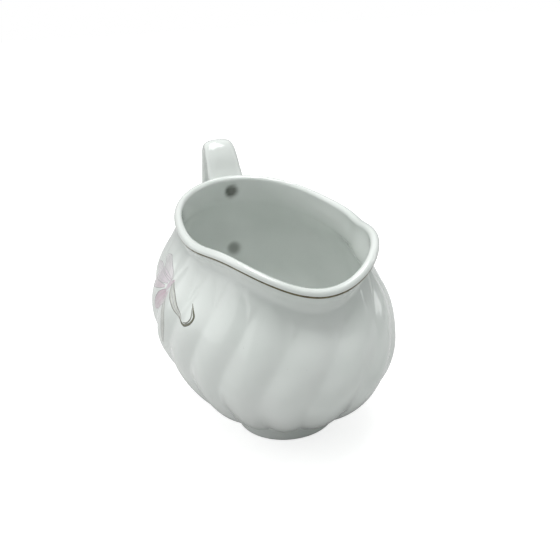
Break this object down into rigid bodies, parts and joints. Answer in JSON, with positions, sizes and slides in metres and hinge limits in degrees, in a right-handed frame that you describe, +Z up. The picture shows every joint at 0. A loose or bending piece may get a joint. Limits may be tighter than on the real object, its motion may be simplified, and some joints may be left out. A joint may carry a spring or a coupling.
{
  "type": "cream jug",
  "caption": "Small pot-bellied porcelain cream jug with swirling fluted sides, rolled lip drawn down to a broad pouring end, strap ear handle, low foot ring and flower spray.",
  "frame": {"origin": "centre of the foot ring's resting plane", "axes": "+X to the pouring end, -X to the handle, +Z up, +Y to the flank on the left when looking from the handle along +X"},
  "size_m": [0.1189, 0.0837, 0.095],
  "materials": {
    "porcelain_body": "glossy clear glaze over cool white porcelain",
    "porcelain_foot": "glossy clear glaze",
    "porcelain_handle": "glossy clear glaze",
    "gilding": "thin dull burnished gold line",
    "petal_enamel": "pale lilac-pink fired-on colour",
    "leaf_enamel": "grey-olive fired-on colour"
  },
  "bodies": {
    "root": {"body": "porcelain_body", "foot_ring": "porcelain_foot", "handle": "porcelain_handle", "rim_gilt_line": "gilding", "flower_petals_left": "petal_enamel", "flower_petals_right": "petal_enamel", "flower_leaves_left": "leaf_enamel", "flower_leaves_right": "leaf_enamel"}
  },
  "joints": []
}
